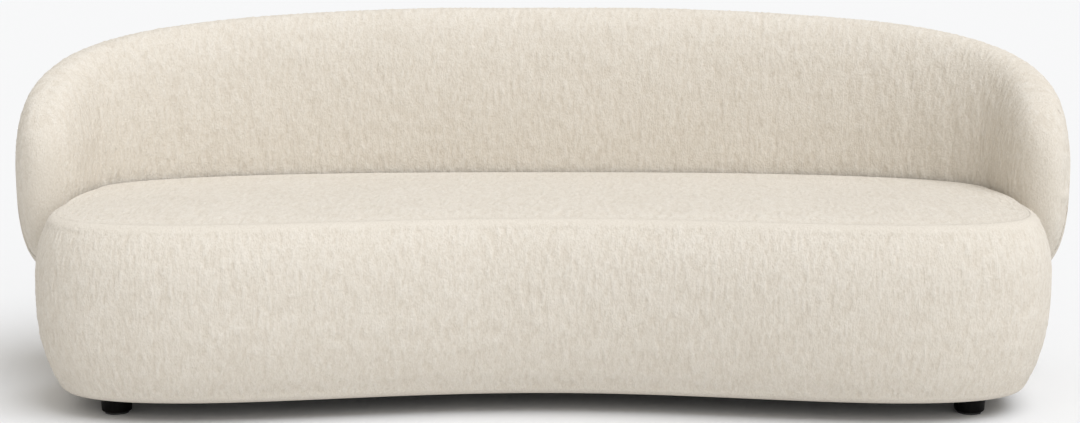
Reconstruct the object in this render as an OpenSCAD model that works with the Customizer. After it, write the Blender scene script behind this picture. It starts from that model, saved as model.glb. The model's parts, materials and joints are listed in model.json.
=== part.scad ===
// Curved upholstered sofa in two volumes: a bean-shaped seat block on short round legs,
// and a thick backrest that wraps around the seat's rear and ends in rounded arms.
// The front faces -Y, +X is to the right seen from the front, and Z = 0 is the floor.
// A timber and plywood carcass sits inside the foam, and fabric covers the foam.

/* [Seat] */
// Half of the seat's width at its widest level
seat_half_w = 1046; // [1000:1:1080]
// Half of the seat's depth before the front edge dips in
seat_half_d = 414; // [400:1:430]
// Depth of the hollow in the middle of the front edge
seat_dip = 143; // [80:1:160]
// Distance from the middle at which the hollow has died out
seat_dip_w = 1063; // [900:1:1100]
// Squareness of the seat's outline, where 2 is an ellipse
seat_n = 3.9; // [3:0.1:4.5]
// Height of the seat's bottom edge
seat_z0 = 45; // [45:1:60]
// Height at which the seat is widest
wide_z = 261; // [240:1:280]
// Height of the seam between the band and the top panel
seam_z = 405; // [390:1:420]
// How far the seat's side draws in at the seam
top_in = 37; // [20:1:50]
// How far the seat's side draws in at the bottom edge
bottom_in = 52; // [40:1:56]
// How far the top panel stands up in its middle
seat_crown = 14; // [4:1:25]

/* [Backrest] */
// Half of the width of the backrest's centre line
back_half_w = 1059; // [1040:1:1080]
// Half of the depth of the backrest's centre line
back_half_d = 378; // [360:1:390]
// Squareness of the backrest's centre line, where 2 is an ellipse
back_n = 2.51; // [2.3:0.01:2.8]
// Angle from the rear at which each arm ends
back_end = 100; // [98:0.5:102]
// Half of the backrest's thickness
back_t = 80; // [75:1:85]
// Height of the backrest in its middle
back_top = 787; // [770:1:800]
// How much lower the top is at the arms
top_drop = 106; // [90:1:120]
// Height of the backrest's underside in its middle
back_z0 = 70; // [65:1:80]
// How much higher the underside is at the arms
bottom_rise = 119; // [100:1:125]
// Squareness of the backrest's cross section, where 2 is an ellipse
section_n = 2.6; // [2.4:0.1:3]
// Length over which an arm's end is rounded, seen from the side
arm_round = 575; // [500:5:600]
// Length over which an arm's end is rounded, seen from above
arm_nose = 150; // [120:1:160]

/* [Upholstery] */
// Thickness of the fabric with its lining
cover_t = 2.5; // [1.5:0.1:3]
// Thickness of the foam on the seat's side at its widest
side_foam_t = 60; // [58:1:60]
// Gap between soft parts that lie against each other
soft_gap = 0.3; // [0.3:0.1:0.5]

/* [Carcass] */
// Thickness of the plywood rings and rails
ply_t = 18; // [15:1:21]
// Thickness of the bent plywood panels
panel_t = 5; // [4:0.5:5]
// Width of the seat's plywood rings
ring_w = 112; // [100:1:120]
// Side of the square seat posts
post_w = 45; // [40:1:45]
// Diameter of the wooden dowels
dowel_d = 10; // [8:1:12]
// Length of the wooden dowels
dowel_l = 34; // [30:1:34]
// Width of the webbing straps
strap_w = 60; // [50:5:70]

/* [Legs] */
// Diameter of a leg at its top
leg_d = 66; // [60:1:70]
// Diameter of a leg at its foot
foot_d = 61; // [56:1:64]
// Distance of the front legs from the middle
front_leg_x = 870; // [840:1:870]
// Position of the front legs from front to back
front_leg_y = -288; // [-290:1:-270]
// Distance of the rear legs from the middle
rear_leg_x = 600; // [580:1:620]
// Height of a glide
glide_h = 4; // [3:1:6]

/* [Hidden] */

fabric_color = [0.86, 0.82, 0.75];
foam_color = [0.93, 0.89, 0.72];
wood_color = [0.78, 0.63, 0.44];
ply_color = [0.83, 0.70, 0.52];
leg_color = [0.04, 0.04, 0.04];
steel_color = [0.70, 0.71, 0.73];
web_color = [0.25, 0.25, 0.27];

// Middle of the seat's outline and of the backrest's centre line, from front to back
seat_yc = -86;
back_yc = -16;
// Between these two places the seat's end leaves its free outline and follows the arm
hug_y0 = -186;
hug_y1 = -26;
hug_gap = 1;
// Behind the arms the seat's band and side foam stop lower, under the joining blocks
low_y0 = 90;
low_y1 = 130;
low_top_z = 232;
// The band's hem is turned in under the carcass as far as this inside the outline
hem_in = 92;

// Height of each layer of the seat, from the underside up
dust_t = 1;
dust_z = seat_z0 + cover_t + 0.1;
ring_z = dust_z + dust_t + 0.4;
ring_top = ring_z + ply_t;
deck_z = 308;
web_t = 2.5;
foam_z = deck_z + 2*web_t + 0.8;
frame_in = side_foam_t + panel_t + 1;
post_in = frame_in + 24;

// The backrest's carcass, along its centre line and up
core_u = 0.88;
core_t = 30;
core_z0 = 225;
core_z1 = 635;
upright_w = 40;
upright_t = 56;
upright_step = 0.21;
uprights = [for (i = [-4:4]) i*upright_step];
joins = [-3, -1, 1, 3]*upright_step;
join_z = 265;
join_d = 10;
join_fit = 0.5;
insert_d = 16;
insert_l = 25;
rail_xs = [-480, -150, 150, 480];
rail_w = 40;

// Angles around the backrest's section: 0 is outward, 90 the top, 180 inward.
// The outer cover is an oval panel on the rear, and the inner cover wraps around it.
inner_end = 200;
outer_end = -140;
panel_top = 62;
panel_side = -10;
panel_from_end = 60;
panel_ease = 300;
section_split = 0.5;
// The foam ends of the arms stand this far inside the cover
nose_gap = 4;

function smooth(t) = let (c = min(1, max(0, t))) c*c*(3 - 2*c);
function round_k(s, n) = pow(pow(abs(cos(s)), n) + pow(abs(sin(s)), n), -1/n);
function reversed(list) = [for (i = [len(list) - 1:-1:0]) list[i]];
function mixed(a, b, t) = a + (b - a)*t;

// ---- Seat outline ----

// The free outline: a squarish oval whose front edge is hollow. Angle 0 is +X.
function bean(s) =
    let (k = round_k(s, seat_n), x = seat_half_w*k*cos(s), y = seat_yc + seat_half_d*k*sin(s),
        hollow = seat_dip*(1 + cos(180*min(1, abs(x)/seat_dip_w)))/2)
    [x, y + hollow*sqrt(max(0, -sin(s)))];

function bean_normal(s) =
    let (t = bean(s + 0.5) - bean(s - 0.5)) [t.y, -t.x]/norm(t);

// The line along the backrest's inner face, moved inward by d
function hug(s, d) =
    let (k = round_k(s, back_n), c = k*cos(s), r = k*sin(s),
        g = [sign(c)*pow(abs(c), back_n - 1)/back_half_w,
             sign(r)*pow(abs(r), back_n - 1)/back_half_d])
    [back_half_w*c, back_yc + back_half_d*r] - g/norm(g)*(back_t + hug_gap + d);

// 0 on the free outline, 1 where the seat lies between the arms
function hugging(s) = smooth((bean(s).y - hug_y0)/(hug_y1 - hug_y0));

// Outline of the seat moved inward by d, and by free_d more where it is free
function seat_plan(s, d = 0, free_d = 0) =
    let (h = hugging(s)) mixed(bean(s) - bean_normal(s)*(d + free_d*(1 - h)), hug(s, d), h);

// How far the seat's side lies inside its widest line at height z
function side_in(z) =
    let (up = max(0, (z - wide_z)/(seam_z - wide_z)), down = max(0, (wide_z - z)/(wide_z - seat_z0)))
    top_in*pow(up, 2.7) + bottom_in*pow(down, 2.7);

function seat_ring(d, step = 5) = [for (s = [0:step:359]) seat_plan(s, d)];

// Front and rear edge of the carcass at x, d inside the outline
function front_line(x, d) =
    seat_yc - (seat_half_d - d)*pow(1 - pow(abs(x)/(seat_half_w - d), seat_n), 1/seat_n)
    + 0.93*seat_dip*(1 + cos(180*abs(x)/seat_dip_w))/2;
function rear_line(x, d) =
    let (in = back_t + hug_gap + d)
    back_yc + (back_half_d - in)*pow(1 - pow(abs(x)/(back_half_w - in), back_n), 1/back_n);

// ---- Backrest centre line ----

function back_at(s) =
    let (k = round_k(s, back_n)) [back_half_w*k*sin(s), back_yc + back_half_d*k*cos(s)];
path_step = 1;
path_s = [for (s = [0:path_step:back_end]) s];
path_len = [for (i = 0, l = 0; i < len(path_s);
    l = l + norm(back_at(path_s[i] + path_step) - back_at(path_s[i])), i = i + 1) l];
half_len = path_len[len(path_len) - 1];
len_to_s = [for (i = [0:len(path_s) - 1]) [path_len[i], path_s[i]]];

// Plan point at u along the line (-1 left arm's end, 1 right arm's end), r outside it
function back_plan(u, r) =
    let (s = sign(u)*lookup(abs(u)*half_len, len_to_s), t = back_at(s + 0.5) - back_at(s - 0.5),
        n = [-t.y, t.x]/norm(t))
    back_at(s) + n*r;
function back_angle(u) = let (n = back_plan(u, 1) - back_plan(u, 0)) atan2(n.y, n.x);

function round_end(t, n) = pow(1 - pow(1 - min(1, max(0, t)), n), 1/n);
function from_end(u) = (1 - abs(u))*half_len;
function back_high(u) = back_top - top_drop*pow(abs(u), 2.6);
function back_low(u) = back_z0 + bottom_rise*u*u;
function back_mid(u) = (back_high(u) + back_low(u))/2;
function back_half(u) = (back_high(u) - back_low(u))/2*round_end(from_end(u)/arm_round, 3.1);
function back_thick(u) = back_t*round_end(from_end(u)/arm_nose, 2.2);

// Point on the backrest's surface at u and section angle a, in below the surface
function back_point(u, a, in) =
    let (v = u - sign(u)*in/half_len, e = in*smooth(from_end(u)/30), k = round_k(a, section_n),
        p = back_plan(v, (back_thick(u) - e)*k*cos(a)))
    [p.x, p.y, back_mid(u) + (back_half(u) - e)*k*sin(a)];
// The small ring that closes the very end of an arm
function nose_point(u, a, in) =
    let (v = u - sign(u)*in/half_len, p = back_plan(v, 0.6*cos(a)))
    [p.x, p.y, back_mid(u) + 2*sin(a)];

// ---- Solids between two grids of points ----

// a is the outer grid and b the inner one, both [along][across] and of the same size.
// A closed solid's last row joins its first one.
module grid_solid(a, b, closed = false) {
    n = len(a);
    m = len(a[0]);
    points = [for (g = [a, b]) for (row = g) each row];
    last = closed ? n - 1 : n - 2;
    function at(layer, i, j) = layer*n*m + (i % n)*m + j;
    function quad(p, q, r, s) = [[p, q, r], [p, r, s]];
    skins = [for (i = [0:last], j = [0:m - 2]) each concat(
        quad(at(0, i, j), at(0, i, j + 1), at(0, i + 1, j + 1), at(0, i + 1, j)),
        quad(at(1, i, j), at(1, i + 1, j), at(1, i + 1, j + 1), at(1, i, j + 1)))];
    sides = [for (i = [0:last]) each concat(
        quad(at(0, i, 0), at(0, i + 1, 0), at(1, i + 1, 0), at(1, i, 0)),
        quad(at(0, i, m - 1), at(1, i, m - 1), at(1, i + 1, m - 1), at(0, i + 1, m - 1)))];
    ends = closed ? [] : [for (j = [0:m - 2]) each concat(
        quad(at(0, 0, j), at(1, 0, j), at(1, 0, j + 1), at(0, 0, j + 1)),
        quad(at(0, n - 1, j), at(0, n - 1, j + 1), at(1, n - 1, j + 1), at(1, n - 1, j)))];
    polyhedron(points, concat(skins, sides, ends), convexity = 8);
}

// A grid over the seat's outline, d inside it, from the left end to the right end
lid_columns = 40;
lid_rows = 8;
lid_edge = 4;
function lid_grid(d, free_d, z, crown) = [for (i = [0:lid_columns])
    let (q = lid_edge + (180 - 2*lid_edge)*i/lid_columns, front = seat_plan(180 + q, d, free_d),
        rear = seat_plan(180 - q, d, free_d), span = norm(rear - front))
    [for (j = [0:lid_rows]) let (t = (1 - cos(180*j/lid_rows))/2, p = mixed(front, rear, t),
            rise = 1 - pow(1 - min(1, min(t, 1 - t)*span/260), 2))
        [p.x, p.y, z + crown*rise]]];

// Rows up the seat's side from z0, to z1 where it shows and lower behind the arms
band_step = 5;
side_rows = [0, 0.06, 0.15, 0.27, 0.42, 0.58, 0.73, 0.87, 1];
function row_heights(s, z0, z1) =
    let (top = mixed(z1, low_top_z, smooth((seat_plan(s).y - low_y0)/(low_y1 - low_y0))))
    [for (t = side_rows) mixed(z0, top, t)];
function side_point(s, d, z) = let (p = seat_plan(s, d, side_in(z))) [p.x, p.y, z];

// Places of the backrest's rings, closer together towards the arms' ends
back_rings = 44;
us = [for (i = [0:back_rings]) sin((i/back_rings - 0.5)*176)];
core_rings = 32;
core_us = [for (i = [0:core_rings]) core_u*(2*i/core_rings - 1)];
tip_rings = 9;
tip_us = [for (i = [0:tip_rings]) mixed(core_u + 0.004, 0.997, sin(90*i/tip_rings))];

// Angles of the oval panel's upper and lower edge at u
function panel_share(u) = round_end((from_end(u) - panel_from_end)/panel_ease, 2);
function panel_high(u) = mixed(panel_side, panel_top, panel_share(u));
function panel_low(u) = mixed(panel_side, outer_end, panel_share(u));
// 0 between the arms, where the inner cover ends behind the seat, and 1 at the arms
function arm_part(u) = smooth((abs(u) - 0.84)/0.08);

inner_rows = 13;
function inner_angle(u, t) = mixed(panel_high(u) + section_split,
    mixed(inner_end, 360 + panel_low(u) - section_split, arm_part(u)), t);
function inner_nose(side, in) = [for (j = [0:inner_rows])
    nose_point(side*us[back_rings], inner_angle(side, j/inner_rows), in)];
function inner_grid(in) = concat([inner_nose(-1, in)],
    [for (u = us) [for (j = [0:inner_rows]) back_point(u, inner_angle(u, j/inner_rows), in)]],
    [inner_nose(1, in)]);

// The panel starts at the last ring before it opens, with hardly any width
outer_rows = 14;
function outer_angle(u, t) = mixed(max(panel_high(u) - section_split, panel_side + 0.2),
    min(panel_low(u) + section_split, panel_side - 0.2), t);
function outer_grid(in) = [for (u = us) if (from_end(u) > panel_from_end/2)
    [for (j = [0:outer_rows]) back_point(u, outer_angle(u, j/outer_rows), in)]];

// ---- Seat upholstery ----

module seat_cover_band() {
    function row(s, d, z0) = let (hem = seat_plan(s, hem_in)) reversed(concat([[hem.x, hem.y, z0]],
        [for (z = row_heights(s, seat_z0, seam_z - soft_gap)) side_point(s, d, max(z, z0))]));
    color(fabric_color) grid_solid([for (s = [0:band_step:359]) row(s, 0, seat_z0)],
        [for (s = [0:band_step:359]) row(s, cover_t, seat_z0 + cover_t)], closed = true);
}

module seat_cover_top() {
    color(fabric_color) grid_solid(lid_grid(0, top_in, seam_z, seat_crown),
        lid_grid(0, top_in, seam_z - cover_t, seat_crown));
}

module seat_top_foam() {
    d = cover_t + soft_gap;
    color(foam_color) grid_solid(lid_grid(d, top_in + 1, seam_z - cover_t - soft_gap, seat_crown),
        lid_grid(d, side_in(foam_z), foam_z, 0));
}

module seat_side_foam() {
    function heights(s) = row_heights(s, dust_z + dust_t, deck_z + 2);
    function outer_row(s) = [for (z = heights(s)) side_point(s, cover_t + soft_gap, z)];
    function inner_row(s) = let (p = seat_plan(s, side_foam_t)) [for (z = heights(s)) [p.x, p.y, z]];
    color(foam_color) grid_solid([for (s = [0:band_step:359]) reversed(outer_row(s))],
        [for (s = [0:band_step:359]) reversed(inner_row(s))], closed = true);
}

// ---- Backrest upholstery ----

module back_cover_inner() {
    color(fabric_color) grid_solid([for (row = inner_grid(0)) reversed(row)],
        [for (row = inner_grid(cover_t)) reversed(row)]);
}

module back_cover_outer() {
    color(fabric_color) grid_solid(outer_grid(0), outer_grid(cover_t));
}

// Foam between the cover and the side of the carcass towards r = side*core, ending at angle a1
pad_rows = 12;
function pad_outer(u, a0, a1) = [for (j = [0:pad_rows])
    back_point(u, mixed(a0, a1, j/pad_rows), cover_t + soft_gap)];
function pad_inner(u, r, top_r, z1, z0) = [for (j = [0:pad_rows])
    let (t = j/pad_rows, turn = 0.25, in_top = t < turn,
        p = back_plan(u, in_top ? mixed(top_r, r, t/turn) : r))
    [p.x, p.y, in_top ? z1 : mixed(z1, z0, (t - turn)/(1 - turn))]];

module back_foam_inner() {
    r = -(core_t + web_t + 2);
    outer = [for (u = core_us) pad_outer(u, 90 + section_split, inner_end)];
    inner = [for (i = [0:core_rings])
        pad_inner(core_us[i], r, -section_split, core_z1 + 1, outer[i][pad_rows].z)];
    color(foam_color) grid_solid([for (row = outer) reversed(row)], [for (row = inner) reversed(row)]);
}

module back_foam_outer() {
    r = core_t + panel_t + 1;
    outer = [for (u = core_us) pad_outer(u, 90 - section_split, outer_end)];
    // The inner side runs over the top rail, down the panel and under the bottom rail
    turn = [0, 0.25, 0.75, 1];
    inner = [for (u = core_us) [for (j = [0:pad_rows])
        let (t = j/pad_rows, across = t < turn[1] ? mixed(section_split, r, t/turn[1])
                : t < turn[2] ? r : mixed(r, -core_t - web_t - 2, (t - turn[2])/(turn[3] - turn[2])),
            z = t < turn[1] ? core_z1 + 1
                : t < turn[2] ? mixed(core_z1 + 1, core_z0 - 1, (t - turn[1])/(turn[2] - turn[1]))
                : core_z0 - 1, p = back_plan(u, across))
        [p.x, p.y, z]]];
    color(foam_color) grid_solid(outer, inner);
}

// The solid foam end of an arm, side is -1 for the left arm and 1 for the right one
module arm_foam(side) {
    rows = 9;
    spread = 90 - section_split;
    rings = side > 0 ? tip_us : [for (u = reversed(tip_us)) -u];
    in = cover_t + nose_gap;
    outer = [for (u = rings) [for (j = [0:rows]) back_point(u, spread - 2*spread*j/rows, in)]];
    inner = [for (u = rings) [for (j = [0:rows]) back_point(u, 180 - spread + 2*spread*j/rows, in)]];
    color(foam_color) grid_solid(outer, inner);
}

// ---- Seat carcass ----

// One post at each place, and where its dowels stand: [x, y, turn]
end_posts = [for (s = [0, 180]) let (p = seat_plan(s, post_in)) [p.x, p.y, s]];
rear_posts = [for (u = joins)
    let (p = back_plan(u, -(back_t + hug_gap + post_in))) [p.x, p.y, back_angle(u)]];
front_posts = [for (p = rear_posts) [p.x, front_line(p.x, post_in), 90]];
posts = concat(end_posts, rear_posts, front_posts);
rail_ends = [for (x = rail_xs) for (y = [front_line(x, post_in + 20), rear_line(x, post_in + 20)]) [x, y]];
front_legs = [for (x = [-front_leg_x, front_leg_x]) [x, front_leg_y]];
rear_legs = [for (x = [-rear_leg_x, rear_leg_x, 0]) [x, rear_line(x, frame_in + 40)]];
legs = concat(front_legs, rear_legs);
dowel_fit = 0.2;
bolt_d = 8;
nut_d = 10;

module ring_plate(z) {
    translate([0, 0, z]) linear_extrude(ply_t) difference() {
        polygon(seat_ring(frame_in));
        polygon(seat_ring(frame_in + ring_w));
    }
}

module dowel_holes(z) {
    for (p = concat(posts, rail_ends))
        translate([p.x, p.y, z]) cylinder(d = dowel_d + dowel_fit, h = dowel_l + 1, $fn = 32);
}

// Dowels start and end a little inside the outer faces of the plywood
low_dowel_z = ring_z + 2;
high_dowel_z = deck_z - dowel_l - 2;

module seat_bottom_ring() {
    color(ply_color) difference() {
        ring_plate(ring_z);
        dowel_holes(low_dowel_z - 0.5);
        for (p = legs) translate([p.x, p.y, ring_z - 1]) cylinder(d = nut_d + 0.4, h = ply_t + 2, $fn = 32);
    }
}

module seat_top_ring() {
    color(ply_color) difference() {
        ring_plate(deck_z - ply_t);
        dowel_holes(high_dowel_z - 0.5);
    }
}

module seat_side_panel() {
    color(ply_color) difference() {
        translate([0, 0, ring_z]) linear_extrude(deck_z - ring_z) difference() {
            polygon(seat_ring(side_foam_t + 0.5));
            polygon(seat_ring(side_foam_t + 0.5 + panel_t - 0.2));
        }
        join_holes();
    }
}

module seat_posts() {
    color(wood_color) difference() {
        for (p = posts) translate([p.x, p.y, ring_top]) rotate(p.z)
            translate([-post_w/2, -post_w/2, 0]) cube([post_w, post_w, deck_z - ply_t - ring_top]);
        dowel_holes(low_dowel_z - 0.5);
        dowel_holes(high_dowel_z - 0.5);
        join_holes();
    }
}

// Straight rails from the front of the ring to its rear, with their underside at z
module cross_rails(z, h) {
    for (x = rail_xs) {
        y0 = front_line(x, frame_in + 20);
        y1 = rear_line(x, frame_in + 20);
        translate([x - rail_w/2, y0, z]) cube([rail_w, y1 - y0, h]);
    }
}

module seat_base_rails() {
    color(wood_color) difference() {
        cross_rails(ring_top, 45);
        dowel_holes(low_dowel_z - 0.5);
    }
}

module seat_deck_rails() {
    rail_h = 60;
    color(wood_color) difference() {
        cross_rails(deck_z - ply_t - rail_h, rail_h);
        dowel_holes(high_dowel_z - 0.5);
    }
}

module seat_dowels() {
    color(wood_color) for (p = concat(posts, rail_ends), z = [low_dowel_z, high_dowel_z])
        translate([p.x, p.y, z]) cylinder(d = dowel_d, h = dowel_l, $fn = 32);
}

module seat_webbing_cross() {
    count = 13;
    pitch = 135;
    color(web_color) for (i = [0:count - 1]) {
        x = (i - (count - 1)/2)*pitch;
        y0 = front_line(x, frame_in + 35);
        y1 = rear_line(x, frame_in + 35);
        translate([x - strap_w/2, y0, deck_z + 0.2]) cube([strap_w, y1 - y0, web_t]);
    }
}

module seat_webbing_long() {
    // Each strap is [middle of its width, half of its length]
    straps = [[-140, 880], [-40, 850], [60, 810]];
    color(web_color) for (strap = straps)
        translate([-strap[1], strap[0] - strap_w/2, deck_z + 0.4 + web_t])
            cube([2*strap[1], strap_w, web_t]);
}

module dust_cover() {
    color(web_color) translate([0, 0, dust_z]) linear_extrude(dust_t) difference() {
        polygon(seat_ring(frame_in + 4));
        for (p = legs) translate([p.x, p.y]) circle(d = leg_d + 2, $fn = 48);
    }
}

// ---- Backrest carcass ----

module curved_bar(r0, r1, z, h) {
    translate([0, 0, z]) linear_extrude(h) polygon(concat(
        [for (u = core_us) back_plan(u, r0)],
        [for (u = reversed(core_us)) back_plan(u, r1)]));
}

module back_dowel_holes(z) {
    for (u = uprights) let (p = back_plan(u, 0))
        translate([p.x, p.y, z]) cylinder(d = dowel_d + dowel_fit, h = dowel_l + 1, $fn = 32);
}

low_back_dowel_z = core_z0 + 2;
high_back_dowel_z = core_z1 - dowel_l - 2;

module back_bottom_rail() {
    color(ply_color) difference() {
        curved_bar(-core_t, core_t, core_z0, ply_t);
        back_dowel_holes(low_back_dowel_z - 0.5);
    }
}

module back_top_rail() {
    color(ply_color) difference() {
        curved_bar(-core_t, core_t, core_z1 - ply_t, ply_t);
        back_dowel_holes(high_back_dowel_z - 0.5);
    }
}

// Places its children at each u in list with +X outward
module along_back(list, r, z) {
    for (u = list) let (p = back_plan(u, r)) translate([p.x, p.y, z]) rotate(back_angle(u)) children();
}

module back_uprights() {
    h = core_z1 - core_z0 - 2*ply_t;
    color(wood_color) difference() {
        along_back(uprights, 0, core_z0 + ply_t)
            translate([-upright_t/2, -upright_w/2, 0]) cube([upright_t, upright_w, h]);
        back_dowel_holes(low_back_dowel_z - 0.5);
        back_dowel_holes(high_back_dowel_z - 0.5);
        along_back(joins, -upright_t/2 - 1, join_z) rotate([0, 90, 0])
            cylinder(d = insert_d, h = insert_l + 2, $fn = 40);
    }
}

module back_outer_panel() {
    color(ply_color) curved_bar(core_t + 0.3, core_t + panel_t, core_z0, core_z1 - core_z0);
}

module back_dowels() {
    color(wood_color) for (u = uprights, z = [low_back_dowel_z, high_back_dowel_z])
        let (p = back_plan(u, 0)) translate([p.x, p.y, z]) cylinder(d = dowel_d, h = dowel_l, $fn = 32);
}

module back_webbing() {
    between = [for (i = [-4:3]) (i + 0.5)*upright_step];
    sag_room = 1.4;
    color(web_color) along_back(between, -core_t - web_t - sag_room, core_z0)
        translate([0, -strap_w/2, 0]) cube([web_t, strap_w, core_z1 - core_z0]);
}

// ---- Joints between the two carcasses ----

block_in = back_t + hug_gap + side_foam_t;
block_l = block_in - upright_t/2;
block_w = 50;
block_h = 50;
head_h = 6;
washer_t = 2;
washer_d = 28;
bolt_start = -(block_in + frame_in - side_foam_t + post_w + 1.5);

module join_holes() {
    along_back(joins, bolt_start - 10, join_z) rotate([0, 90, 0])
        cylinder(d = join_d + join_fit, h = block_in + frame_in, $fn = 40);
}

module join_blocks() {
    color(wood_color) difference() {
        along_back(joins, -block_in - 0.1, join_z)
            translate([0, -block_w/2, -block_h/2]) cube([block_l, block_w, block_h]);
        join_holes();
    }
}

module join_bolts() {
    color(steel_color) along_back(joins, bolt_start - washer_t - 0.2, join_z) {
        translate([-head_h, 0, 0]) rotate([0, 90, 0]) cylinder(d = 17, h = head_h, $fn = 6);
        rotate([0, 90, 0]) cylinder(d = join_d, h = -bolt_start - 8, $fn = 40);
    }
}

module join_washers() {
    color(steel_color) along_back(joins, bolt_start - washer_t - 0.1, join_z) rotate([0, 90, 0])
        difference() {
            cylinder(d = washer_d, h = washer_t, $fn = 40);
            translate([0, 0, -1]) cylinder(d = join_d + join_fit, h = washer_t + 2, $fn = 40);
        }
}

module join_inserts() {
    color(steel_color) along_back(joins, -upright_t/2, join_z) rotate([0, 90, 0]) difference() {
        cylinder(d = insert_d - 0.2, h = insert_l, $fn = 40);
        translate([0, 0, -1]) cylinder(d = join_d + 0.2, h = insert_l + 2, $fn = 40);
    }
}

// ---- Legs ----

bolt_low = 24;
bolt_high = 90;
foot_round = 5;

module leg(p) {
    top = ring_z - 0.1;
    arc = [for (a = [0:15:90]) [foot_d/2 - foot_round + foot_round*sin(a),
        glide_h + foot_round - foot_round*cos(a)]];
    color(leg_color) translate([p.x, p.y, 0]) difference() {
        rotate_extrude($fn = 64) polygon(concat([[0, glide_h]], arc, [[leg_d/2, top], [0, top]]));
        translate([0, 0, bolt_low - 2]) cylinder(d = bolt_d + 0.3, h = top, $fn = 32);
    }
}

module leg_front_left() { leg(legs[0]); }
module leg_front_right() { leg(legs[1]); }
module leg_rear_left() { leg(legs[2]); }
module leg_rear_right() { leg(legs[3]); }
module leg_centre() { leg(legs[4]); }

module hanger_bolts() {
    color(steel_color) for (p = legs)
        translate([p.x, p.y, bolt_low]) cylinder(d = bolt_d, h = bolt_high - bolt_low, $fn = 32);
}

module leg_nuts() {
    flange_t = 1.5;
    flange_d = 24;
    barrel_l = 12;
    color(steel_color) for (p = legs) translate([p.x, p.y, ring_top - barrel_l]) difference() {
        union() {
            cylinder(d = nut_d, h = barrel_l + flange_t, $fn = 32);
            translate([0, 0, barrel_l]) cylinder(d = flange_d, h = flange_t, $fn = 32);
        }
        translate([0, 0, -1]) cylinder(d = bolt_d + 0.2, h = barrel_l + flange_t + 2, $fn = 32);
    }
}

module leg_glides() {
    glide_d = 48;
    color(leg_color) for (p = legs)
        translate([p.x, p.y, 0]) cylinder(d = glide_d, h = glide_h, $fn = 48);
}

seat_cover_band();
seat_cover_top();
seat_top_foam();
seat_side_foam();
back_cover_inner();
back_cover_outer();
back_foam_inner();
back_foam_outer();
arm_foam(-1);  // arm_foam_left
arm_foam(1);  // arm_foam_right
seat_bottom_ring();
seat_top_ring();
seat_side_panel();
seat_posts();
seat_base_rails();
seat_deck_rails();
seat_dowels();
seat_webbing_cross();
seat_webbing_long();
dust_cover();
back_bottom_rail();
back_top_rail();
back_uprights();
back_outer_panel();
back_dowels();
back_webbing();
join_blocks();
join_bolts();
join_washers();
join_inserts();
leg_front_left();
leg_front_right();
leg_rear_left();
leg_rear_right();
leg_centre();
hanger_bolts();
leg_nuts();
leg_glides();
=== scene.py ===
"""A curved boucle sofa: taut upholstery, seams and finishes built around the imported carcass.

Everything is in metres in the part's own frame: +X to the right seen from the front, which faces -Y, +Z up,
and the floor at Z = 0.
"""
import json
import math

import bmesh
import bpy
import numpy as np
from mathutils.kdtree import KDTree
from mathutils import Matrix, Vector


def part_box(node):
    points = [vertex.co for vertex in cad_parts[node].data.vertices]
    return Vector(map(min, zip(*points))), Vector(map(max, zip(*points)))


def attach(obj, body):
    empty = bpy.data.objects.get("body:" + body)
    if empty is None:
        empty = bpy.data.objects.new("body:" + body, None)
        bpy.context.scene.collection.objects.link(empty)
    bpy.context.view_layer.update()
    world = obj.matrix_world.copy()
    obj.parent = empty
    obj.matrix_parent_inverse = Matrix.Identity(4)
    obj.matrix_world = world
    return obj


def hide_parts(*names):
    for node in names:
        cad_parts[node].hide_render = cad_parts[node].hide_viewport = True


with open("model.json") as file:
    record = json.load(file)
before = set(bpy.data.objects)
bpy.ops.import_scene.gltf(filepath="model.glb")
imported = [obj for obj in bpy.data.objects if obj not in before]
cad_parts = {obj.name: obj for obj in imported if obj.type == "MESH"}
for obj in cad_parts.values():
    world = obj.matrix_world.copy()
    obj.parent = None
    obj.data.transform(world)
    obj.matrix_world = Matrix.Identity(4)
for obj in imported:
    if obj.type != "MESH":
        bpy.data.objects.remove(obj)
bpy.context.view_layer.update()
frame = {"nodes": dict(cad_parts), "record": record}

# ---- Driving dimensions, the same as the part's own ----

SEAT_Z0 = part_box("seat_cover_band")[0].z
SEAM_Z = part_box("seat_cover_band")[1].z
SEAT_HALF_W = 1.046
SEAT_HALF_D = 0.414
SEAT_YC = -0.086
SEAT_DIP = 0.143
SEAT_DIP_W = 1.063
SEAT_N = 3.9
WIDE_Z = 0.261
TOP_IN = 0.037
BOTTOM_IN = 0.052
HEM_IN = 0.092
# The seat's top rises by CROWN over CROWN_EASE from its front seam
CROWN = 0.012
CROWN_EASE = 0.260
SIDE_POWER = 2.7
# Behind LOW_Y1 the seat's side stops at LOW_TOP_Z, under the backrest
LOW_Y0, LOW_Y1, LOW_TOP_Z = 0.090, 0.130, 0.232
# Between these depths the seat's outline turns from its free line to the backrest's inner face
HUG_Y0, HUG_Y1, HUG_GAP = -0.186, -0.026, 0.001

BACK_HALF_W = 1.059
BACK_HALF_D = 0.378
BACK_YC = -0.016
BACK_N = 2.51
BACK_END = 100.0
BACK_T = 0.080
BACK_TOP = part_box("back_cover_inner")[1].z
TOP_DROP = 0.106
BACK_Z0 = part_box("back_cover_outer")[0].z
BOTTOM_RISE = 0.119
DROP_POWER = 2.6
SECTION_N = 2.6
ARM_ROUND, ARM_ROUND_N = 0.575, 3.1
ARM_NOSE, ARM_NOSE_N = 0.150, 2.2

# Angles around the backrest's section: 0 is outward, 90 the top, 180 inward
INNER_END = 200.0
OUTER_END = -140.0
PANEL_TOP = 62.0
PANEL_SIDE = -10.0
# The outer panel starts this far from an arm's end, and opens over PANEL_EASE
PANEL_FROM_END = 0.060
PANEL_EASE = 0.300
# From here towards an arm's end the inner cover goes on under the arm to the outer panel
ARM_FROM = 0.70
ARM_BLEND = 0.08

ROOT = "root"


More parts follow.
